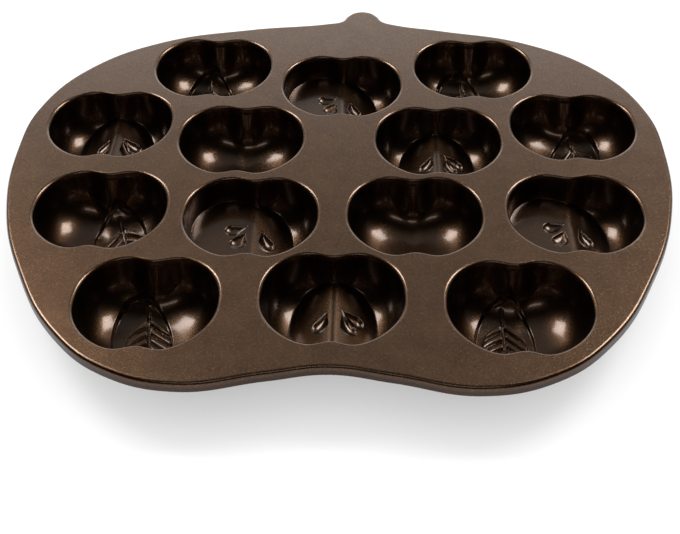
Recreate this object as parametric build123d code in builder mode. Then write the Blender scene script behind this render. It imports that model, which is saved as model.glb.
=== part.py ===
from build123d import *
import os
from math import cos, radians, sin, tan

# Cast aluminium pan in the shape of an apple, with apple-shaped cups of four kinds.
# Origin: centre of the pan's plan, on the surface that it stands on. +Y points at the stem.

# One cup, in millimetres, measured on the deck's top face
cup_width = 64.0
cup_far_crest = 27.4
cup_far_notch = 25.4
cup_near_crest = 28.1
cup_near_notch = 26.3
cup_depth = 25.0
cup_wall = 1.9
floor_wall = 3.0
rim_radius = 1.4
wall_fullness = 3.2
inner_land = 0.35
outer_land = 0.45

# The deck, its lip and the stem
deck_thickness = 3.0
deck_edge_radius = 1.5
lip_drop = 2.4
lip_width = 2.8
web = 5.0
side_margin = 10.0
back_margin = 16.6
front_margin = 17.2
stem_reach = 14.0
stem_lean = 9.8
stem_half_base = 19.0
stem_half_middle = 9.4
stem_seat = 3.0

# The forms in the cups
ridge_depth = 13.5
ridge_slope = 29.0
funnel_top_radius = 10.0
funnel_foot_radius = 15.4
seed_length = 11.6
seed_width = 5.8
seed_sink = 1.0
leaf_length = 36.0
leaf_width = 25.0
leaf_sink = 1.2
leaf_stalk_y = 16.0
vein_width = 1.6

# Places that follow from the sizes above
deck_top = cup_depth + floor_wall
deck_under = deck_top - deck_thickness
half_width = cup_width / 2 - rim_radius
far_crest = cup_far_crest - rim_radius
far_notch = cup_far_notch - rim_radius
near_crest = cup_near_crest - rim_radius
near_notch = cup_near_notch - rim_radius
pitch_x = cup_width + web
pitch_y = cup_far_crest + cup_near_crest + web
reach = cup_width

# Each cup: its name, its kind, its place in pitches from the origin, its leaf's lean in degrees
layout = [
    ("leaf_cup_back_left", "leaf", -1.0, 1.355, -12),
    ("half_cup_back", "half", 0.0, 1.087, 0),
    ("leaf_cup_back_right", "leaf", 1.0, 1.355, -19),
    ("wedge_cup_left", "wedge", -1.674, 0.512, 0),
    ("plain_cup_left", "plain", -0.703, 0.314, 0),
    ("wedge_cup_right", "wedge", 0.703, 0.314, 0),
    ("leaf_cup_right", "leaf", 1.674, 0.512, 11),
    ("leaf_cup_left", "leaf", -1.575, -0.575, 19),
    ("half_cup_left", "half", -0.565, -0.642, 0),
    ("plain_cup_right", "plain", 0.52, -0.618, 0),
    ("half_cup_right", "half", 1.575, -0.575, 0),
    ("leaf_cup_front_left", "leaf", -1.136, -1.565, -3),
    ("wedge_cup_front", "wedge", 0.0, -1.5, 0),
    ("leaf_cup_front_right", "leaf", 1.136, -1.565, -12),
]
pan_half_width = 1.674 * pitch_x + cup_width / 2 + side_margin
pan_back = 1.355 * pitch_y + cup_far_crest + back_margin
pan_front = 1.565 * pitch_y + cup_near_crest + front_margin
stem_left_root = stem_lean - stem_half_base
stem_right_root = stem_lean + stem_half_base

# Seeds on the cut faces: the face's slope, the run down it from the ridge, y, and the turn
wedge_seeds = [
    (-ridge_slope, -5.4, -0.9, -25),
    (ridge_slope, 7.2, -3.5, 29),
    (ridge_slope, 9.6, 2.9, 56),
]
half_seeds = [
    (0, -9.1, 4.4, -64),
    (0, -9.3, -3.9, -32),
    (ridge_slope, 6.9, 0.9, 21),
]


def cup_outline(grow_x, grow_y):
    """Apple outline of a cup with its two axes scaled, for the open sketch."""
    half = [
        (0, far_notch * grow_y),
        (0.33 * half_width * grow_x, far_crest * grow_y),
        (0.72 * half_width * grow_x, 0.83 * far_crest * grow_y),
        (half_width * grow_x, 0.04 * far_crest * grow_y),
        (0.85 * half_width * grow_x, -0.56 * near_crest * grow_y),
        (0.3 * half_width * grow_x, -near_crest * grow_y),
        (0, -near_notch * grow_y),
    ]
    other_half = [(-x, y) for x, y in half[-2:0:-1]]
    with BuildLine() as outline:
        Spline(*half, *other_half, periodic=True)
    make_face(outline.edges())


def bowl(wall, depth, land):
    """Bowl as a loft from the deck's underside, steep at its rim, with a flat land at its foot."""
    stretch_x = (half_width + wall) / half_width
    stretch_y = (far_crest + wall) / far_crest
    full = (1 - land**wall_fullness) ** (1 / wall_fullness)
    with BuildPart() as body:
        for share in (1, 0.98, 0.94, 0.87, 0.77, 0.63, 0.5, land):
            drop = depth * (1 - share**wall_fullness) ** (1 / wall_fullness) / full
            with BuildSketch(Plane.XY.offset(deck_top - max(drop, deck_thickness))):
                cup_outline(stretch_x * share, stretch_y * share)
        loft()
    return body.part


def cut_block(under, half_floor):
    """Block below an apple's cut faces: two slopes from a ridge, or a flat and one slope."""
    top = deck_top - ridge_depth - under
    foot = top - reach * tan(radians(ridge_slope))
    left = top if half_floor else foot
    base = foot - reach
    with BuildPart() as block:
        with BuildSketch(Plane.XZ.offset(-reach)):
            with BuildLine():
                Polyline((0, top), (reach, foot), (reach, base), (-reach, base), (-reach, left), close=True)
            make_face()
        extrude(amount=2 * reach)
    return block.part


def seed_pockets(seeds):
    """Teardrops that stand square to the cut faces and reach the seed's depth into them."""
    round_y = (seed_width - seed_length) / 2
    with BuildPart() as pockets:
        for slope, run, y, turn in seeds:
            tilt = radians(slope)
            centre = (run * cos(tilt), y, deck_top - ridge_depth - abs(run * sin(tilt)))
            face = Plane(centre, x_dir=(cos(tilt), 0, -sin(tilt)), z_dir=(sin(tilt), 0, cos(tilt)))
            with BuildSketch(face.rotated((0, 0, turn)).offset(-seed_sink)):
                with BuildLine():
                    Line((0, seed_length / 2), (seed_width / 2, round_y))
                    TangentArc((seed_width / 2, round_y), (-seed_width / 2, round_y), tangent=(0, -1))
                    Line((-seed_width / 2, round_y), (0, seed_length / 2))
                make_face()
            extrude(amount=2 * seed_sink)
    return pockets.part


def leaf_pocket(lean):
    """Leaf sunk below the bowl's floor, turned about its stalk, with its middle vein left standing."""
    with BuildPart() as pocket:
        add(leaf_bowl)
        with BuildSketch(Plane((0, leaf_stalk_y, 0)).rotated((0, 0, lean))):
            with BuildLine():
                Spline(
                    (0, 0),
                    (leaf_width / 2, -0.45 * leaf_length),
                    (0, -leaf_length),
                    tangents=[(0.8, -0.6), (-0.7, -0.7)],
                )
                mirror(about=Plane.YZ)
            make_face()
            with Locations((0, -0.58 * leaf_length)):
                Rectangle(vein_width, 0.7 * leaf_length, mode=Mode.SUBTRACT)
        extrude(amount=deck_under, mode=Mode.INTERSECT)
    return pocket.part


def cup_shell(kind, lean):
    """One cup: the outer form less the cavity, with the cut faces, seeds or leaf of its kind."""
    drop = cup_depth - deck_thickness
    funnel_y = far_notch + funnel_top_radius
    with BuildPart() as shell:
        add(outer_bowl)
        if kind in ("wedge", "half"):
            add(cut_block(floor_wall, kind == "half"), mode=Mode.SUBTRACT)
        with BuildPart(mode=Mode.PRIVATE) as cavity:
            add(inner_bowl)
            if kind in ("wedge", "half"):
                add(cut_block(0, kind == "half"), mode=Mode.SUBTRACT)
            else:
                with Locations((0, funnel_y, deck_under - drop / 2)):
                    Cone(funnel_foot_radius, funnel_top_radius, drop, mode=Mode.SUBTRACT)
        add(cavity.part, mode=Mode.SUBTRACT)
        if kind == "wedge":
            add(seed_pockets(wedge_seeds), mode=Mode.SUBTRACT)
        if kind == "half":
            add(seed_pockets(half_seeds), mode=Mode.SUBTRACT)
        if kind == "leaf":
            add(leaf_pocket(lean), mode=Mode.SUBTRACT)
    return shell.part


def pan_edge(side, inset):
    """One side of the pan's outline, from just outside the stem's root to the notch at the front."""
    root = stem_right_root + inset if side > 0 else stem_left_root - inset
    return [
        (root, root_y(root)),
        (side * 0.33 * pan_half_width, 0.957 * pan_back),
        (side * 0.635 * pan_half_width, 0.85 * pan_back),
        (side * 0.857 * pan_half_width, 0.643 * pan_back),
        (side * 0.978 * pan_half_width, 0.357 * pan_back),
        (side * pan_half_width, 0.08 * pan_back),
        (side * 0.965 * pan_half_width, -0.257 * pan_front),
        (side * 0.873 * pan_half_width, -0.536 * pan_front),
        (side * 0.724 * pan_half_width, -0.807 * pan_front),
        (side * 0.571 * pan_half_width, -0.946 * pan_front),
        (side * 0.381 * pan_half_width, -pan_front),
        (side * 0.16 * pan_half_width, -0.957 * pan_front),
        (0, -0.929 * pan_front),
    ]


def root_y(x):
    """Height of the pan's back edge at a root of the stem: a shallow arch over the middle."""
    return pan_back * (1.006 - 0.43 * (x / pan_half_width) ** 2)


def root_tangent(x):
    """Direction of the back edge at a root of the stem, pointing to +X."""
    return (1, -0.86 * pan_back * x / pan_half_width**2)


def deck_outline(inset):
    """The pan's outline, drawn in by an inset, with the notch at its back that seats the stem."""
    grow_x = (pan_half_width - inset) / pan_half_width
    grow_y = (pan_front - inset) / pan_front
    seat_y = root_y(stem_right_root) - stem_seat
    right = [(x * grow_x, y * grow_y) for x, y in pan_edge(1, inset)]
    left = [(x * grow_x, y * grow_y) for x, y in pan_edge(-1, inset)]
    away = root_tangent(stem_left_root)
    with BuildLine() as outline:
        Spline(*right, tangents=[root_tangent(stem_right_root), (-1, 0)])
        Spline(*left, tangents=[(-away[0], -away[1]), (1, 0)])
        Polyline(left[0], (left[0][0], seat_y - inset), (right[0][0], seat_y - inset), right[0])
    make_face(outline.edges())


os.makedirs("parts", exist_ok=True)
inner_bowl = bowl(0, cup_depth, inner_land)
outer_bowl = bowl(cup_wall, deck_top, outer_land)
leaf_bowl = bowl(0, cup_depth + leaf_sink, inner_land)

# Cups, each a shell whose flat rim meets the deck's underside
shells = {kind: cup_shell(kind, 0) for kind in ("plain", "wedge", "half")}
for name, kind, column, row, lean in layout:
    shell = cup_shell(kind, lean) if kind == "leaf" else shells[kind]
    with BuildPart() as cup:
        with Locations((column * pitch_x, row * pitch_y, 0)):
            add(shell)
    cup.part.label = name
    export_step(cup.part, f"parts/{name}.step")

# Deck plate, with a rounded edge outside and round every cup
with BuildPart() as deck:
    with BuildSketch(Plane.XY.offset(deck_under)):
        deck_outline(0)
    extrude(amount=deck_thickness)
    outer_edges = deck.faces().sort_by(Axis.Z)[-1].edges().filter_by(GeomType.BSPLINE)
    fillet(outer_edges, deck_edge_radius)
    with BuildSketch(Plane.XY.offset(deck_under)):
        for name, kind, column, row, lean in layout:
            with BuildSketch(mode=Mode.PRIVATE) as opening:
                cup_outline(1, 1)
            with Locations((column * pitch_x, row * pitch_y)):
                add(opening.sketch)
    extrude(amount=deck_thickness, mode=Mode.SUBTRACT)
    top_face = deck.faces().filter_by(Plane.XY).sort_by(Axis.Z)[-1]
    for hole in top_face.inner_wires():
        fillet(hole.edges(), rim_radius)
deck.part.label = "deck_plate"
export_step(deck.part, "parts/deck_plate.step")

# Lip that hangs from the deck's edge
with BuildPart() as lip:
    with BuildSketch(Plane.XY.offset(deck_under - lip_drop)):
        deck_outline(0)
    extrude(amount=lip_drop)
    with BuildSketch(Plane.XY.offset(deck_under - lip_drop)):
        deck_outline(lip_width)
    extrude(amount=lip_drop, mode=Mode.SUBTRACT)
lip.part.label = "rim_lip"
export_step(lip.part, "parts/rim_lip.step")

# Stem, as thick as the deck and its lip, seated in the notch at the back
with BuildPart() as stem:
    with BuildSketch(Plane.XY.offset(deck_under - lip_drop)):
        left = (stem_left_root, root_y(stem_left_root))
        right = (stem_right_root, root_y(stem_right_root))
        tip_y = pan_back + stem_reach
        seat_y = root_y(stem_right_root) - stem_seat
        middle_y = (left[1] + tip_y) / 2
        with BuildLine():
            Spline(
                left,
                (stem_lean - stem_half_middle, middle_y),
                (stem_lean, tip_y),
                (stem_lean + stem_half_middle, middle_y),
                right,
                tangents=[root_tangent(stem_left_root), root_tangent(stem_right_root)],
            )
            Polyline(right, (stem_right_root, seat_y), (stem_left_root, seat_y), left)
        make_face()
    extrude(amount=deck_thickness + lip_drop)
    tip_edges = stem.faces().sort_by(Axis.Z)[-1].edges().filter_by(GeomType.BSPLINE)
    fillet(tip_edges, deck_edge_radius)
stem.part.label = "stem_tab"
export_step(stem.part, "parts/stem_tab.step")
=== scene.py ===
import math

import bmesh
import bpy
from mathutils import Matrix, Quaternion, Vector


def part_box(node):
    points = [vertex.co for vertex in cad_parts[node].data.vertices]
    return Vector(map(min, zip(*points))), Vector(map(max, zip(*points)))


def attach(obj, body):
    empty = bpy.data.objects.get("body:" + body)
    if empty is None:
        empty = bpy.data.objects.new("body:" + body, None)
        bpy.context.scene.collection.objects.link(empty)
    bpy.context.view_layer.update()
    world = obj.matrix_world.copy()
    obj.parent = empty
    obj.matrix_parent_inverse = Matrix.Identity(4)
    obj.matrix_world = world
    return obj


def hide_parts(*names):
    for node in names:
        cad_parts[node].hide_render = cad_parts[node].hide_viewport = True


bl_info = {
    "name": "Apple Cake Pan",
    "version": (1, 0, 0),
    "blender": (4, 5, 0),
    "location": "3D View > Sidebar > Pan",
    "description": "Builds a cast apple-shaped cake pan with its coat and a plain studio",
    "category": "Add Mesh",
}

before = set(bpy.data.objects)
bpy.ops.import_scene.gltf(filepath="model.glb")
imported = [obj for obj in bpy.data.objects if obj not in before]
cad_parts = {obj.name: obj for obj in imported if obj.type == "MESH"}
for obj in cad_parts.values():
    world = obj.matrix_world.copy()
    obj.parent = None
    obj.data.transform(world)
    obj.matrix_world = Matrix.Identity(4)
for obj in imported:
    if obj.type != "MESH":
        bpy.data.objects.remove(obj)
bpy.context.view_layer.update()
MM = 0.001
FULL_TURN = 2 * math.pi

# Each cup's node and kind, and for a leaf its pocket's middle in x (mm) and lean (degrees), then its vein's
CUPS = (
    ("leaf_cup_back_left", "leaf", -3.9, 5, -4.5, 6),
    ("half_cup_back", "half"),
    ("leaf_cup_back_right", "leaf", -4.2, 13, -3.4, 3),
    ("wedge_cup_left", "wedge"),
    ("plain_cup_left", "plain"),
    ("wedge_cup_right", "wedge"),
    ("leaf_cup_right", "leaf", 3.2, -13, 4.0, 13),
    ("leaf_cup_left", "leaf", 6.2, 4, 5.8, 19),
    ("half_cup_left", "half"),
    ("plain_cup_right", "plain"),
    ("half_cup_right", "half"),
    ("leaf_cup_front_left", "leaf", -3.7, 12, -2.6, 8),
    ("wedge_cup_front", "wedge"),
    ("leaf_cup_front_right", "leaf", -4.7, -2, -4.8, 1),
)
# Seeds on the cut faces: side of the ridge, run down the face from the ridge and y in mm, turn in degrees
SEEDS = {
    "wedge": ((-1, 5.4, -0.9, -25), (1, 6.8, -1.6, 27), (1, 9.6, 2.9, 56)),
    "half": ((-1, 7.6, 4.4, -64), (-1, 5.4, -3.4, -22), (1, 6.9, -0.2, 21)),
}
# A cup's rim: the reach of its two halves, how full they are, and the depth and spread of their notches
FAR_REACH, NEAR_REACH = 29.2 * MM, 30.3 * MM
FAR_FULLNESS, NEAR_FULLNESS = 2.4, 2.0
FAR_NOTCH, FAR_SPREAD = 3.8 * MM, 8.75 * MM
NEAR_NOTCH, NEAR_SPREAD = 4.0 * MM, 7.5 * MM
# How full a cavity's side view is, on a scale where 2 is an ellipse
BOWL_FULLNESS, CUT_FULLNESS = 2.8, 3.2
# The smooth outline swings a hair past its points, so they are drawn in by this share
DRAWN_IN = 0.9993
# A leaf's pocket: y of its widest place, its reach from there to the stalk and to the tip, and half its width
LEAF_Y, LEAF_REACH, LEAF_TIP, LEAF_HALF = -2.7 * MM, 25.0 * MM, 18.0 * MM, 13.2 * MM


class Maths:
    """A number socket of a node tree. Python expressions on it add the Math nodes."""

    def __init__(self, nodes, socket):
        self.nodes = nodes
        self.socket = socket

    def run(self, operation, *values):
        node = self.nodes.add("ShaderNodeMath", dict(enumerate((self, *values))), operation=operation)
        return Maths(self.nodes, node.outputs[0])

    def __add__(self, other):
        return self.run("ADD", other)

    def __sub__(self, other):
        return self.run("SUBTRACT", other)

    def __mul__(self, other):
        return self.run("MULTIPLY", other)

    def __truediv__(self, other):
        return self.run("DIVIDE", other)

    def __pow__(self, other):
        return self.run("POWER", other)

    def __gt__(self, other):
        return self.run("GREATER_THAN", other)

    def __neg__(self):
        return self.run("MULTIPLY", -1.0)

    def __abs__(self):
        return self.run("ABSOLUTE")

    def __rsub__(self, other):
        node = self.nodes.add("ShaderNodeMath", {0: other, 1: self}, operation="SUBTRACT")
        return Maths(self.nodes, node.outputs[0])

    __radd__ = __add__
    __rmul__ = __mul__

    def root(self):
        return self.run("SQRT")

    def least(self, other):
        return self.run("MINIMUM", other)

    def most(self, other):
        return self.run("MAXIMUM", other)

    def held(self):
        """Held between 0 and 1."""
        return self.most(0.0).least(1.0)

    def eased(self):
        """Held between 0 and 1 with soft ends."""
        part = self.held()
        return part * part * (3.0 - part * 2.0)

    def blended_most(self, other, radius):
        """The greater of two heights, with a small round where they meet."""
        return self.run("SMOOTH_MAX", other, radius)

    def pick(self, yes, no):
        """One value where this is 1 and the other where it is 0."""
        return no + (yes - no) * self


class Nodes:
    """A node tree, for a material or for Geometry Nodes, with one method that adds any node."""

    def __init__(self, tree):
        self.tree = tree

    def add(self, kind, sockets=None, **settings):
        node = self.tree.nodes.new(kind)
        for name, value in settings.items():
            setattr(node, name, value)
        for name, value in (sockets or {}).items():
            self.plug(value, node.inputs[name])
        return node

    def plug(self, value, socket):
        if isinstance(value, Maths):
            value = value.socket
        if isinstance(value, bpy.types.NodeSocket):
            self.tree.links.new(value, socket)
        else:
            socket.default_value = value

    def value(self, node, output=0):
        return Maths(self, node.outputs[output])

    def vector(self, x, y, z):
        return self.add("ShaderNodeCombineXYZ", {0: x, 1: y, 2: z}).outputs[0]


class PanSizes(bpy.types.PropertyGroup):
    """Sizes of the deck, its lip and the stem."""

    corner: bpy.props.FloatProperty(
        name="Edge rounding", description="Radius of the deck's outer edge", default=1.6 * MM, unit="LENGTH")
    lip_drop: bpy.props.FloatProperty(
        name="Edge height", description="Height of the band round the deck", default=5.4 * MM, unit="LENGTH")
    lip_width: bpy.props.FloatProperty(
        name="Lip width", description="Width of the lip under the deck", default=2.8 * MM, unit="LENGTH")
    thickness: bpy.props.FloatProperty(
        name="Deck thickness", description="Thickness of the deck plate", default=3.0 * MM, unit="LENGTH")


class CupSizes(bpy.types.PropertyGroup):
    """Sizes of one cup, measured on the deck's top face."""

    half_width: bpy.props.FloatProperty(
        name="Half width", description="Half the rim's width", default=32.0 * MM, unit="LENGTH")
    depth: bpy.props.FloatProperty(
        name="Depth", description="Depth of the cavity below the deck", default=25.0 * MM, unit="LENGTH")
    side_wall: bpy.props.FloatProperty(
        name="Side wall", description="Thickness of the cup's side wall", default=1.9 * MM, unit="LENGTH")
    floor_wall: bpy.props.FloatProperty(
        name="Floor", description="Thickness of the cup's floor", default=3.0 * MM, unit="LENGTH")
    rim_radius: bpy.props.FloatProperty(
        name="Rim rounding", description="Radius of the rounded rim", default=1.8 * MM, unit="LENGTH")
    ridge_depth: bpy.props.FloatProperty(
        name="Ridge depth", description="Depth of the cut faces' ridge", default=13.5 * MM, unit="LENGTH")
    ridge_slope: bpy.props.FloatProperty(
        name="Face slope", description="Slope of a cut face", default=math.radians(29), subtype="ANGLE")
    around: bpy.props.IntProperty(
        name="Points around", description="Mesh points round a cup", default=280, min=24)


class CoatFinish(bpy.types.PropertyGroup):
    """Colours of the bronze non-stick coat."""

    base: bpy.props.FloatVectorProperty(
        name="Coat", description="Colour of the coat", subtype="COLOR", size=3,
        default=(0.092, 0.043, 0.019))
    light: bpy.props.FloatVectorProperty(
        name="Flake", description="Colour of its bright flakes", subtype="COLOR", size=3,
        default=(0.30, 0.175, 0.09))


def sizes():
    return bpy.context.scene.pan_sizes, bpy.context.scene.cup_sizes, bpy.context.scene.pan_coat


# Cup form in Geometry Nodes

def superellipse(share, fullness):
    """The other axis of a superellipse of that fullness, both axes 1."""
    return (1.0 - share ** fullness).most(0.0) ** (1.0 / fullness)


def swell(x, spread):
    """A smooth swelling about x = 0: 1 there, and fading over the spread."""
    return (-((x / spread) ** 2.0)).run("EXPONENT")


def rim_outline(turn, half_width, keen, fold):
    """A cup's outline: two halves of an apple with their notches, a keen crease and a fold in the far one."""
    crease_tip, crease_spread, fold_spread = 0.4 * MM, 3.0 * MM, 9.5 * MM
    cosine = turn.run("COSINE")
    x = cosine * half_width
    across = abs(cosine)
    far = turn.run("SINE") > 0.0
    crease = (-(((x * x + crease_tip ** 2).root() - crease_tip) / crease_spread)).run("EXPONENT")
    far_y = superellipse(across, FAR_FULLNESS) * FAR_REACH - swell(x, FAR_SPREAD) * FAR_NOTCH
    far_y = far_y - crease * keen - swell(x, fold_spread) * fold
    near_y = swell(x, NEAR_SPREAD) * NEAR_NOTCH - superellipse(across, NEAR_FULLNESS) * NEAR_REACH
    return x, far.pick(far_y, near_y)


def grid_sheet(nodes, around, rows, place):
    """A grid wrapped round the cup: place turns a turn and a share along the rows into x, y and z."""
    grid = nodes.add(
        "GeometryNodeMeshGrid", {"Size X": 1.0, "Size Y": 1.0, "Vertices X": around, "Vertices Y": rows})
    spot = nodes.add("ShaderNodeSeparateXYZ", {0: nodes.add("GeometryNodeInputPosition").outputs[0]})
    turn = (nodes.value(spot, 0) + 0.5) * FULL_TURN
    position = nodes.vector(*place(turn, nodes.value(spot, 1) + 0.5))
    moved = nodes.add("GeometryNodeSetPosition", {"Geometry": grid.outputs[0], "Position": position})
    return moved.outputs[0]


def cut_height(kind, x, size):
    """Height of the cut faces: a ridge with two slopes, or a flat with one slope on its right."""
    soft = 1.6 * MM
    if kind == "wedge":
        run = (x * x + soft ** 2).root() - soft
    else:
        run = ((x * x + soft ** 2).root() + x - soft) * 0.5
    return -(run * size["Slope"].run("TANGENT") + size["Ridge depth"])


def seed_height(kind, x, y, size):
    """Pockets of the apple seeds: teardrops hollowed like a spoon, with a fine raised line round each."""
    radius, length, sink = 3.8 * MM, 11.2 * MM, 1.7 * MM
    line_out, line_half, line_rise = 0.3 * MM, 0.45 * MM, 0.25 * MM
    reach = length - radius
    lean_sine = radius / reach
    lean_cosine = math.sqrt(1 - lean_sine ** 2)
    total = None
    for side, run, seed_y, turn in SEEDS[kind]:
        flat = kind == "half" and side < 0
        along_face = x if flat else x / size["Slope"].run("COSINE")
        dx = along_face - side * run * MM
        dy = y - seed_y * MM
        sine, cosine = math.sin(math.radians(turn)), math.cos(math.radians(turn))
        across = abs(dx * cosine + dy * sine)
        along = dy * cosine - dx * sine + (length / 2 - radius)
        beside = (along * lean_cosine - across * lean_sine) > 0.0
        to_side = across * lean_cosine + along * lean_sine - radius
        to_round = (across * across + along * along).root() - radius
        away = beside.pick(to_side, to_round)
        inside = (-away / radius).held()
        pocket = (1.0 - (1.0 - inside) ** 2.0).most(0.0) ** 0.7 * -sink
        line = (1.0 - abs(away - line_out) / line_half).eased() * line_rise
        form = pocket + line
        total = form if total is None else total.least(form) + line
    return total


def leaf_frame(x, y, size):
    """Place in a leaf's own axes: how far along it towards the stalk, and how far across it to the right."""
    lean = size["Leaf lean"]
    dx = x - size["Leaf middle"]
    dy = y - LEAF_Y
    return dy * lean.run("COSINE") - dx * lean.run("SINE"), dx * lean.run("COSINE") + dy * lean.run("SINE")


def leaf_far_edge(x, size):
    """y of the leaf's far edge at an x, where the pocket's round end is cut into the fold."""
    out_of_reach = -100.0 * MM
    lean = size["Leaf lean"]
    sine, cosine = lean.run("SINE"), lean.run("COSINE")
    long_part, wide_part = 1 / LEAF_REACH ** 2, 1 / LEAF_HALF ** 2
    dx = x - size["Leaf middle"]
    square = cosine * cosine * long_part + sine * sine * wide_part
    cross = sine * cosine * (wide_part - long_part) * dx
    rest = (sine * sine * long_part + cosine * cosine * wide_part) * dx * dx - 1.0
    under_root = cross * cross - square * rest
    edge = (under_root.most(0.0).root() - cross) / square + LEAF_Y
    return (under_root > 0.0).pick(edge, out_of_reach)


def bowl_drop(x, y, size):
    """Depth of the bowl near its middle, with the plan taken as an ellipse."""
    half_width, half_length = 30.6 * MM, 26.5 * MM
    plan = ((x / half_width) ** 2.0 + (y / half_length) ** 2.0).root()
    return superellipse(plan.least(1.0), BOWL_FULLNESS) * size["Depth"]


def leaf_pocket(x, y, size):
    """How far a leaf's pocket is sunk below the bowl. Its floor is flatter across than the bowl's."""
    along, across = leaf_frame(x, y, size)
    far = along > 0.0
    share_across = abs(across) / LEAF_HALF
    share_along = far.pick(along / LEAF_REACH, -along / LEAF_TIP)
    filled = far.pick(share_across ** 2.0, share_across) + share_along ** 2.0
    rise_across = far.pick(share_across * (2 / LEAF_HALF), 1 / LEAF_HALF)
    rise_along = share_along * far.pick(2 / LEAF_REACH, 2 / LEAF_TIP)
    inside = (1.0 - filled) / (rise_across * rise_across + rise_along * rise_along + 1.0).root()
    middle = size["Leaf middle"]
    extra, shallowest, corner, flattened = 1.3 * MM, 20.7 * MM, 1.0 * MM, 0.6
    floor = bowl_drop(middle + (x - middle) * flattened, y, size) + extra
    wall = 0.7 * MM
    return (inside / wall).eased() * (bowl_drop(x, y, size) - floor.blended_most(shallowest, corner))


def leaf_relief(x, y, size):
    """The smaller leaf raised from the pocket's floor: slanting lobes, a vein and a stalk."""
    vein_y, set_back = 10.0 * MM, 2.5 * MM
    far_part, tip_part, half_width, edge = 13.0 * MM, 14.0 * MM, 10.0 * MM, 0.8 * MM
    pitch, shift, rise, stalk_rise = 4.8 * MM, 0.4, 1.6 * MM, 1.3 * MM
    turn = size["Vein lean"]
    dx = x - size["Vein middle"]
    dy = y - vein_y
    down = dx * turn.run("SINE") - dy * turn.run("COSINE") + set_back
    aside = dx * turn.run("COSINE") + dy * turn.run("SINE")
    beside = abs(aside)
    opened = 1.0 - (1.0 - (down / far_part).held()) ** 2.0
    closed = 1.0 - ((down - far_part) / tip_part).held() ** 2.0
    body_half = opened.most(0.0) ** 0.85 * closed * half_width
    body = ((body_half - beside) / edge).eased()
    outer_side = aside * size["Leaf middle"] > 0.0
    fall = outer_side.pick(beside * 0.15 + beside * beside * (0.05 / MM), beside * 0.95)
    wave = abs((((down - fall) / pitch + outer_side.pick(0.0, shift)) * math.pi).run("SINE"))
    lobe = (1.0 - (1.0 - wave) ** 2.5) * 0.85 + 0.15
    groove = ((beside - 0.3 * MM) / (0.7 * MM)).eased()
    vein = (1.0 - beside / (0.5 * MM)).eased() * 0.55
    stalk = (1.0 - beside / (1.1 * MM)).eased() * ((down + 6.5 * MM) / (1.2 * MM)).eased()
    stalk = stalk * (1.0 - (down + 0.5 * MM) / (2.0 * MM)).eased()
    return body * (lobe * groove + vein) * rise + stalk * stalk_rise


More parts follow.
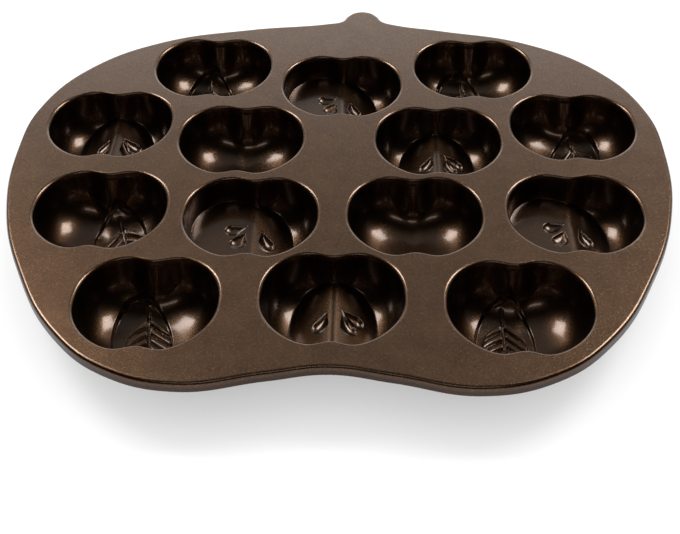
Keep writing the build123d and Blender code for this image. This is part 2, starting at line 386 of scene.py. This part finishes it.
def cup_tree(kind):
    """Geometry Nodes for one kind of cup, as a closed shell from its foot to its cavity's middle."""
    tree = bpy.data.node_groups.new("cup_form_" + kind, "GeometryNodeTree")
    nodes = Nodes(tree)
    numbers = (
        "Half width", "Depth", "Side wall", "Floor wall", "Rim radius", "Deck", "Ridge depth", "Slope",
        "Leaf middle", "Leaf lean", "Vein middle", "Vein lean",
    )
    inputs = [(name, "NodeSocketFloat") for name in numbers]
    inputs += [("Around", "NodeSocketInt"), ("Place", "NodeSocketVector"), ("Coat", "NodeSocketMaterial")]
    for name, socket in inputs:
        tree.interface.new_socket(name, in_out="INPUT", socket_type=socket)
    tree.interface.new_socket("Shell", in_out="OUTPUT", socket_type="NodeSocketGeometry")
    entry = nodes.add("NodeGroupInput")
    size = {name: Maths(nodes, entry.outputs[name]) for name, _ in inputs}
    leave = nodes.add("NodeGroupOutput")
    around = (size["Around"] + 1.0).socket
    cut = kind in ("wedge", "half")
    fullness = CUT_FULLNESS if cut else BOWL_FULLNESS
    wall_share, rim_flat_share = 0.86, 0.13
    floor_share = (1 - wall_share ** fullness) ** (1 / fullness)
    half_width, rim = size["Half width"], size["Rim radius"]
    inner = 1.0 - rim / half_width
    bowl = inner / superellipse(rim / size["Depth"], fullness)
    outer = inner + size["Side wall"] / half_width
    total_depth = size["Depth"] + size["Floor wall"]
    under_start = size["Deck"] / total_depth

    def at(turn, grow, keen=0.0, fold=0.0):
        x, y = rim_outline(turn, half_width, keen, fold)
        return x * grow, y * grow

    def rim_rows(turn, row):
        angle = ((row - rim_flat_share) / (1 - rim_flat_share)).most(0.0) * (math.pi / 2)
        flat = (1.0 - row / rim_flat_share).most(0.0)
        grow = flat * (outer - 1.0) + 1.0 - angle.run("SINE") * rim / half_width
        x, y = at(turn, grow)
        return x, y, rim * (angle.run("COSINE") - 1.0)

    def cavity(turn, share, drop):
        down = drop * size["Depth"] - rim
        if cut:
            x, y = at(turn, bowl * share, keen=(down / (12.0 * MM)).held() * (1.2 * MM))
        else:
            foot_y, foot_drop, notch_y = 19.0 * MM, 19.2 * MM, 25.4 * MM
            bowl_y = bowl * share * notch_y
            straight_y = inner * notch_y - down * ((inner * notch_y - foot_y) / foot_drop)
            fold = (bowl_y - straight_y).blended_most(0.0, 2.4 * MM) * (down / (1.2 * MM)).held()
            x, y = at(turn, bowl * share, fold=fold)
            if kind == "leaf":
                _, bowl_only = at(turn, bowl * share)
                y = y.most(bowl_only.least(leaf_far_edge(x, size)))
        z = -(drop * size["Depth"])
        if cut:
            faces = cut_height(kind, x, size)
            on_face = (faces - z - 0.2 * MM) / (0.4 * MM)
            z = z.blended_most(faces, 0.9 * MM) + seed_height(kind, x, y, size) * on_face.held()
        elif kind == "leaf":
            z = z + leaf_pocket(x, y, size) + leaf_relief(x, y, size)
        return x, y, z

    def wall_rows(turn, row):
        start = rim / size["Depth"]
        drop = start + row * (wall_share - start)
        return cavity(turn, superellipse(drop, fullness), drop)

    def floor_rows(turn, row):
        share = (1.0 - row) * floor_share
        return cavity(turn, share, superellipse(share, fullness))

    def under(turn, share, drop):
        x, y = at(turn, outer * share)
        z = -(drop * total_depth)
        if cut:
            z = z.blended_most(cut_height(kind, x, size) - size["Floor wall"], 1.5 * MM)
        return x, y, z

    def under_wall_rows(turn, row):
        drop = under_start + row * (wall_share - under_start)
        return under(turn, superellipse(drop, fullness), drop)

    def foot_rows(turn, row):
        share = (1.0 - row) * floor_share
        return under(turn, share, superellipse(share, fullness))

    def band_rows(turn, row):
        x, y = at(turn, outer * (1.0 - row + row * superellipse(under_start, fullness)))
        return x, y, -(size["Deck"] * row)

    join = nodes.add("GeometryNodeJoinGeometry")
    sheets = (
        (14, rim_rows), (70, wall_rows), (84, floor_rows),
        (3, band_rows), (16, under_wall_rows), (24, foot_rows),
    )
    for rows, place in sheets:
        nodes.plug(grid_sheet(nodes, around, rows, place), join.inputs[0])
    merged = nodes.add("GeometryNodeMergeByDistance", {"Geometry": join.outputs[0], "Distance": 0.002 * MM})
    moved = nodes.add("GeometryNodeTransform", {"Geometry": merged.outputs[0], "Translation": size["Place"]})
    real = nodes.add("GeometryNodeRealizeInstances", {0: moved.outputs[0]})
    dressed = nodes.add("GeometryNodeSetMaterial", {"Geometry": real.outputs[0], "Material": size["Coat"]})
    nodes.plug(dressed.outputs[0], leave.inputs[0])
    return tree


def made_mesh(name, tree, values):
    """The plain mesh that a Geometry Nodes tree makes with those values for its inputs."""
    carrier = bpy.data.objects.new(name + "_form", bpy.data.meshes.new(name + "_form"))
    bpy.context.collection.objects.link(carrier)
    modifier = carrier.modifiers.new("form", "NODES")
    modifier.node_group = tree
    for item in tree.interface.items_tree:
        if item.in_out == "INPUT":
            modifier[item.identifier] = values[item.name]
    ready = carrier.evaluated_get(bpy.context.evaluated_depsgraph_get())
    mesh = bpy.data.meshes.new_from_object(ready)
    bpy.data.objects.remove(carrier)
    return mesh


def finish_mesh(mesh):
    """Doubles merged, faces turned outwards and shaded smooth."""
    form = bmesh.new()
    form.from_mesh(mesh)
    bmesh.ops.remove_doubles(form, verts=form.verts, dist=0.002 * MM)
    bmesh.ops.dissolve_degenerate(form, dist=0.0005 * MM, edges=form.edges)
    bmesh.ops.recalc_face_normals(form, faces=form.faces)
    for face in form.faces:
        face.smooth = True
    form.to_mesh(mesh)
    form.free()


def cup_centre(node):
    """Middle of a cup on the deck's top face. The near half is a little longer than the far half."""
    near_reach, far_reach = 26.7, 26.0
    low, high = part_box(node)
    y = low[1] + (high[1] - low[1]) * near_reach / (near_reach + far_reach)
    return Vector(((low[0] + high[0]) / 2, y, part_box("deck_plate")[1][2]))


class PAN_OT_cups(bpy.types.Operator):
    """Make the fourteen cups, each in its place under the deck."""

    bl_idname = "pan.cups"
    bl_label = "Cups"

    def execute(self, context):
        deck, cup, _ = sizes()
        trees = {kind: cup_tree(kind) for kind in ("plain", "leaf", "wedge", "half")}
        coat = coat_material()
        for node, kind, *leaf in CUPS:
            middle, lean, vein_middle, vein_lean = leaf or (0, 0, 0, 0)
            values = {
                "Half width": cup.half_width, "Depth": cup.depth, "Side wall": cup.side_wall,
                "Floor wall": cup.floor_wall, "Rim radius": cup.rim_radius, "Deck": deck.thickness,
                "Ridge depth": cup.ridge_depth, "Slope": cup.ridge_slope,
                "Leaf middle": middle * MM, "Leaf lean": math.radians(lean),
                "Vein middle": vein_middle * MM, "Vein lean": math.radians(vein_lean),
                "Around": cup.around, "Place": cup_centre(node), "Coat": coat,
            }
            mesh = made_mesh(node, trees[kind], values)
            finish_mesh(mesh)
            piece = bpy.data.objects.new("dressed_" + node, mesh)
            context.collection.objects.link(piece)
            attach(piece, "root")
            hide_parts(node)
        return {"FINISHED"}


# Deck, lip and stem

def rim_points(half_width, grow, count):
    """Points of a cup's rim in plan, by the same rule as the cup's form."""
    points = []
    for step in range(count):
        turn = FULL_TURN * step / count
        cosine, far = math.cos(turn), math.sin(turn) > 0
        fullness = FAR_FULLNESS if far else NEAR_FULLNESS
        form = max(0.0, 1 - abs(cosine) ** fullness) ** (1 / fullness)
        x = half_width * cosine
        if far:
            y = FAR_REACH * form - FAR_NOTCH * math.exp(-((x / FAR_SPREAD) ** 2))
        else:
            y = NEAR_NOTCH * math.exp(-((x / NEAR_SPREAD) ** 2)) - NEAR_REACH * form
        points.append((x * grow, y * grow))
    return points


def pan_outline():
    """The pan's outline with its stem, in shares of its half width and of its reach to back and front."""
    low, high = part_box("rim_lip")
    half_width, back = high[0], high[1]
    front = -low[1] * DRAWN_IN
    overswing = 0.1 * MM
    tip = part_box("stem_tab")[1][1] - overswing
    stem_left, stem_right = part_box("stem_tab")[0][0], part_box("stem_tab")[1][0]
    lean = (stem_left + stem_right) / 2
    half_stem = (stem_right - stem_left) / 2
    side = (
        (0.33, 0.951 * back), (0.635, 0.845 * back), (0.857, 0.639 * back), (0.978, 0.355 * back),
        (1.0, 0.08 * back), (0.965, -0.257 * front), (0.873, -0.536 * front), (0.724, -0.807 * front),
        (0.571, -0.946 * front), (0.381, -front), (0.16, -0.957 * front),
    )
    right = [(share * half_width * DRAWN_IN, y) for share, y in side]
    left = [(-x, y) for x, y in reversed(right)]
    rise = tip - back
    stem = [
        (lean - half_stem, 1.003 * back), (lean - 0.6 * half_stem, back + 0.22 * rise),
        (lean - 0.44 * half_stem, back + 0.62 * rise), (lean - 0.2 * half_stem, back + 0.94 * rise),
        (lean + 0.2 * half_stem, back + 0.94 * rise), (lean + 0.44 * half_stem, back + 0.62 * rise),
        (lean + 0.6 * half_stem, back + 0.22 * rise), (lean + half_stem, 0.994 * back),
    ]
    return right + [(0.0, -0.929 * front)] + left + stem


def smooth_loop(points, steps):
    """Points along a smooth closed curve through those points."""
    curve = bpy.data.curves.new("outline", "CURVE")
    curve.resolution_u = steps
    spline = curve.splines.new("BEZIER")
    spline.bezier_points.add(len(points) - 1)
    for knot, (x, y) in zip(spline.bezier_points, points):
        knot.co = (x, y, 0)
        knot.handle_left_type = knot.handle_right_type = "AUTO"
    spline.use_cyclic_u = True
    carrier = bpy.data.objects.new("outline", curve)
    bpy.context.collection.objects.link(carrier)
    ready = carrier.evaluated_get(bpy.context.evaluated_depsgraph_get())
    mesh = bpy.data.meshes.new_from_object(ready)
    loop = [vertex.co.copy() for vertex in mesh.vertices]
    bpy.data.objects.remove(carrier)
    bpy.data.meshes.remove(mesh)
    return loop


def drawn_in(loop, inset):
    """A closed loop moved inwards by an inset, square to itself. The loop runs clockwise."""
    moved = []
    for before, here, after in zip([loop[-1]] + loop[:-1], loop, loop[1:] + loop[:1]):
        along = (after - before).normalized()
        moved.append(here + Vector((along.y, -along.x, 0)) * inset)
    return moved


class PAN_OT_deck(bpy.types.Operator):
    """Make the deck with its rounded edge, lip and stem as one skin."""

    bl_idname = "pan.deck"
    bl_label = "Deck, lip and stem"

    def execute(self, context):
        deck, cup, _ = sizes()
        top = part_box("deck_plate")[1][2]
        loop = smooth_loop(pan_outline(), 28)
        corner, drop = deck.corner, deck.lip_drop
        foot_corner, top_flat, foot_flat = 0.6 * MM, 0.4 * MM, 0.2 * MM
        corner_steps, foot_steps = 8, 4
        profile = [(corner + top_flat, 0.0), (corner, 0.0)]
        for step in range(1, corner_steps + 1):
            angle = math.pi / 2 * step / corner_steps
            profile.append((corner * (1 - math.sin(angle)), corner * (1 - math.cos(angle))))
        profile.append((0.0, drop - foot_corner - foot_flat))
        for step in range(foot_steps + 1):
            angle = math.pi / 2 * step / foot_steps
            profile.append((foot_corner * (1 - math.cos(angle)), drop - foot_corner * (1 - math.sin(angle))))
        profile += [(deck.lip_width, drop), (deck.lip_width, deck.thickness)]
        form = bmesh.new()
        rings = []
        for inset, down in profile:
            ring = [form.verts.new((p.x, p.y, top - down)) for p in drawn_in(loop, inset)]
            rings.append(ring)
        for upper, lower in zip(rings, rings[1:]):
            for i in range(len(loop)):
                j = (i + 1) % len(loop)
                form.faces.new((upper[i], upper[j], lower[j], lower[i]))
        grow = 1 - cup.rim_radius / cup.half_width + cup.side_wall / cup.half_width
        holes = []
        for node, *_ in CUPS:
            centre = cup_centre(node)
            points = rim_points(cup.half_width, grow, cup.around)
            pair = [
                [form.verts.new((centre.x + x, centre.y + y, top - down)) for x, y in points]
                for down in (0.0, deck.thickness)
            ]
            for i in range(len(points)):
                j = (i + 1) % len(points)
                form.faces.new((pair[0][i], pair[0][j], pair[1][j], pair[1][i]))
            holes.append(pair)
        for level, outline in ((0, rings[0]), (1, rings[-1])):
            edges = []
            for ring in [outline] + [pair[level] for pair in holes]:
                edges += [form.edges.get((ring[i - 1], ring[i])) for i in range(len(ring))]
            bmesh.ops.triangle_fill(form, edges=edges, use_beauty=True, use_dissolve=False)
        bmesh.ops.recalc_face_normals(form, faces=form.faces)
        for face in form.faces:
            face.smooth = abs(face.normal.z) < 0.9999 or len(face.verts) > 3
        mesh = bpy.data.meshes.new("dressed_deck")
        form.to_mesh(mesh)
        form.free()
        mesh.materials.append(coat_material())
        piece = bpy.data.objects.new("dressed_deck", mesh)
        context.collection.objects.link(piece)
        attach(piece, "root")
        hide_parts("deck_plate", "rim_lip", "stem_tab")
        return {"FINISHED"}


def coat_material():
    """Dark bronze coat: fine flakes in a dark binder, a faint mottle and a grained skin, with painted shade
    that darkens it below a set height, in the cups and low on the edge band.
    """
    if "bronze_coat" in bpy.data.materials:
        return bpy.data.materials["bronze_coat"]
    _, _, finish = sizes()
    material = bpy.data.materials.new("bronze_coat")
    material.use_nodes = True
    material.node_tree.nodes.clear()
    nodes = Nodes(material.node_tree)
    place = nodes.add("ShaderNodeTexCoord").outputs["Object"]
    flakes = nodes.add("ShaderNodeTexVoronoi", {"Vector": place, "Scale": 3200.0}, feature="F1")
    glint = nodes.value(nodes.add("ShaderNodeSeparateColor", {0: flakes.outputs["Color"]}))
    mottle = nodes.value(nodes.add("ShaderNodeTexNoise", {"Vector": place, "Scale": 70.0, "Detail": 4.0}))
    grain = nodes.value(nodes.add("ShaderNodeTexNoise", {"Vector": place, "Scale": 1300.0, "Detail": 3.0}))
    speck = ((glint - 0.8) / 0.2).held()
    share = speck * 0.6 + (grain - 0.5) * 0.55 + (mottle - 0.5) * 0.25 + 0.14
    flaked = nodes.add(
        "ShaderNodeMix", {"Factor": share.held(), 6: (*finish.base, 1.0), 7: (*finish.light, 1.0)},
        data_type="RGBA")
    # Painted shade: below this height the coat's colour is mixed towards a darker copy of itself, so the cups
    # and the low part of the edge band look shaded.
    shade_top, shade_blend, shade_share = 24.5 * MM, 2.0 * MM, 0.7
    level = nodes.value(nodes.add("ShaderNodeSeparateXYZ", {0: place}), 2)
    painted_shade = (1.0 - (level - shade_top) / shade_blend).eased() * shade_share
    dark = tuple(part * 0.5 for part in finish.base)
    colour = nodes.add(
        "ShaderNodeMix", {"Factor": painted_shade, 6: flaked.outputs[2], 7: (*dark, 1.0)}, data_type="RGBA")
    skin = nodes.add("ShaderNodeBump", {"Height": grain + glint * 0.5, "Distance": 0.00005, "Strength": 0.3})
    surface = nodes.add(
        "ShaderNodeBsdfPrincipled",
        {
            "Base Color": colour.outputs[2], "Metallic": 1.0,
            "Roughness": 0.30 + (mottle - 0.5) * 0.06 - speck * 0.05,
            "Coat Weight": 1.0, "Coat Roughness": 0.14, "Coat IOR": 1.44, "Normal": skin.outputs[0],
        },
    )
    nodes.add("ShaderNodeOutputMaterial", {"Surface": surface.outputs[0]})
    return material


class PAN_OT_stage(bpy.types.Operator):
    """Make the floor, the lamps, the world and the camera."""

    bl_idname = "pan.stage"
    bl_label = "Studio"

    def execute(self, context):
        scene = context.scene
        floor_mesh = bpy.data.meshes.new("floor")
        reach, gap = 3.0, 0.5 * MM
        corners = [(-reach, -reach, 0), (reach, -reach, 0), (reach, reach, 0), (-reach, reach, 0)]
        floor_mesh.from_pydata(corners, [], [(0, 1, 2, 3)])
        floor_mesh.materials.append(floor_material())
        floor = bpy.data.objects.new("floor", floor_mesh)
        floor.location.z = -gap
        context.collection.objects.link(floor)
        add_world(scene)
        for name, side in (("lamp_left", -1), ("lamp_right", 1)):
            add_lamp(name, (side * 1.30, 0.98, 1.76), width=0.94, height=0.80, power=23.0)
        add_lamp("lamp_front", (0.0, -1.51, 1.87), width=1.4, height=0.30, power=2.8)
        add_camera(scene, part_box("deck_plate")[1][2])
        return {"FINISHED"}


def add_lamp(name, place, width, height, power):
    """A rectangle of light that faces the pan. Lengths are in metres and the power is in watts."""
    light = bpy.data.lights.new(name, "AREA")
    light.shape = "RECTANGLE"
    light.size, light.size_y = width, height
    light.energy = power
    lamp = bpy.data.objects.new(name, light)
    lamp.location = place
    aim = Vector((0, 0, 0.02)) - Vector(place)
    lamp.rotation_euler = aim.to_track_quat("-Z", "Y").to_euler()
    bpy.context.collection.objects.link(lamp)


def floor_material():
    """Pale floor that the camera sees white where no shadow falls. The coat mirrors it dimmer."""
    material = bpy.data.materials.new("pale_floor")
    material.use_nodes = True
    material.node_tree.nodes.clear()
    nodes = Nodes(material.node_tree)
    path = nodes.add("ShaderNodeLightPath")
    matt = nodes.add("ShaderNodeBsdfDiffuse", {"Color": (0.95, 0.95, 0.95, 1.0)})
    dim = nodes.add("ShaderNodeBsdfDiffuse", {"Color": (0.42, 0.42, 0.44, 1.0)})
    mirrored = path.outputs["Is Glossy Ray"]
    lit = nodes.add("ShaderNodeMixShader", {0: mirrored, 1: matt.outputs[0], 2: dim.outputs[0]})
    paper = nodes.add("ShaderNodeEmission", {"Color": (1, 1, 1, 1), "Strength": 1.0})
    seen = nodes.value(path, "Is Camera Ray") * 0.42
    surface = nodes.add("ShaderNodeMixShader", {0: seen, 1: lit.outputs[0], 2: paper.outputs[0]})
    nodes.add("ShaderNodeOutputMaterial", {"Surface": surface.outputs[0]})
    return material


def add_world(scene):
    """Even white light all round, and for the coat to mirror a dark room with a pale sheet behind the pan."""
    world = bpy.data.worlds.new("studio")
    scene.world = world
    world.use_nodes = True
    world.node_tree.nodes.clear()
    nodes = Nodes(world.node_tree)
    world.cycles.sampling_method = "NONE"
    path = nodes.add("ShaderNodeLightPath")
    way = nodes.add("ShaderNodeTexCoord").outputs["Generated"]
    split = nodes.add("ShaderNodeSeparateXYZ", {0: way})
    side, depth, height = (nodes.value(split, i) for i in range(3))
    sheet = ((0.62 - height) / 0.14).eased() * (1.0 - ((abs(side) - 0.26) / 0.2).eased())
    behind = ((depth + 0.1) / 0.7).eased()
    wall_glow, room_glow = 0.28, 0.01
    glow = (sheet + wall_glow) * behind + room_glow
    mirror = nodes.add("ShaderNodeBackground", {"Color": (1, 1, 1, 1), "Strength": glow})
    light = nodes.add("ShaderNodeBackground", {"Color": (1, 1, 1, 1), "Strength": 1.0})
    both = nodes.add(
        "ShaderNodeMixShader",
        {0: path.outputs["Is Glossy Ray"], 1: light.outputs[0], 2: mirror.outputs[0]},
    )
    nodes.add("ShaderNodeOutputWorld", {"Surface": both.outputs[0]})


def add_camera(scene, top):
    """The camera of the photo, worked out from the cups' rims, moved to the pan's own origin."""
    camera = bpy.data.cameras.new("camera")
    camera.sensor_width = 36.0
    focal_pixels, frame_width, frame_height = 1166.0, 680.0, 534.0
    middle_x, middle_y = 338.0, 200.0
    camera.lens = focal_pixels / frame_width * camera.sensor_width
    camera.shift_x = (frame_width / 2 - middle_x) / frame_width
    camera.shift_y = (middle_y - frame_height / 2) / frame_width
    holder = bpy.data.objects.new("camera", camera)
    elevation, yaw, roll, distance = math.radians(40.0), math.radians(2.21), math.radians(-0.90), 537.2 * MM
    aim = Vector((0.6 * MM, -28.0 * MM, top))
    level = math.cos(elevation)
    away = Vector((math.sin(yaw) * level, -math.cos(yaw) * level, math.sin(elevation)))
    holder.location = aim + away * distance
    turn = (-away).to_track_quat("-Z", "Y")
    holder.rotation_mode = "QUATERNION"
    holder.rotation_quaternion = turn @ Quaternion((0, 0, 1), roll)
    camera.clip_start, camera.clip_end = 0.01, 20.0
    bpy.context.collection.objects.link(holder)
    scene.camera = holder


class PAN_PT_panel(bpy.types.Panel):
    """Lists the pan's sizes, its coat and the buttons that build it."""

    bl_label = "Apple Cake Pan"
    bl_idname = "PAN_PT_panel"
    bl_space_type = "VIEW_3D"
    bl_region_type = "UI"
    bl_category = "Pan"

    def draw(self, context):
        layout = self.layout
        for group in sizes():
            for name in group.bl_rna.properties.keys():
                if name not in ("rna_type", "name"):
                    layout.prop(group, name)
        for operator in ("pan.deck", "pan.cups", "pan.stage"):
            layout.operator(operator)


CLASSES = (PanSizes, CupSizes, CoatFinish, PAN_OT_deck, PAN_OT_cups, PAN_OT_stage, PAN_PT_panel)


def register():
    for item in CLASSES:
        bpy.utils.register_class(item)
    bpy.types.Scene.pan_sizes = bpy.props.PointerProperty(type=PanSizes)
    bpy.types.Scene.cup_sizes = bpy.props.PointerProperty(type=CupSizes)
    bpy.types.Scene.pan_coat = bpy.props.PointerProperty(type=CoatFinish)


def unregister():
    del bpy.types.Scene.pan_sizes
    del bpy.types.Scene.cup_sizes
    del bpy.types.Scene.pan_coat
    for item in reversed(CLASSES):
        bpy.utils.unregister_class(item)


def main():
    register()
    bpy.context.scene.view_settings.view_transform = "Standard"
    bpy.ops.pan.deck()
    bpy.ops.pan.cups()
    bpy.ops.pan.stage()


if __name__ == "__main__":
    main()
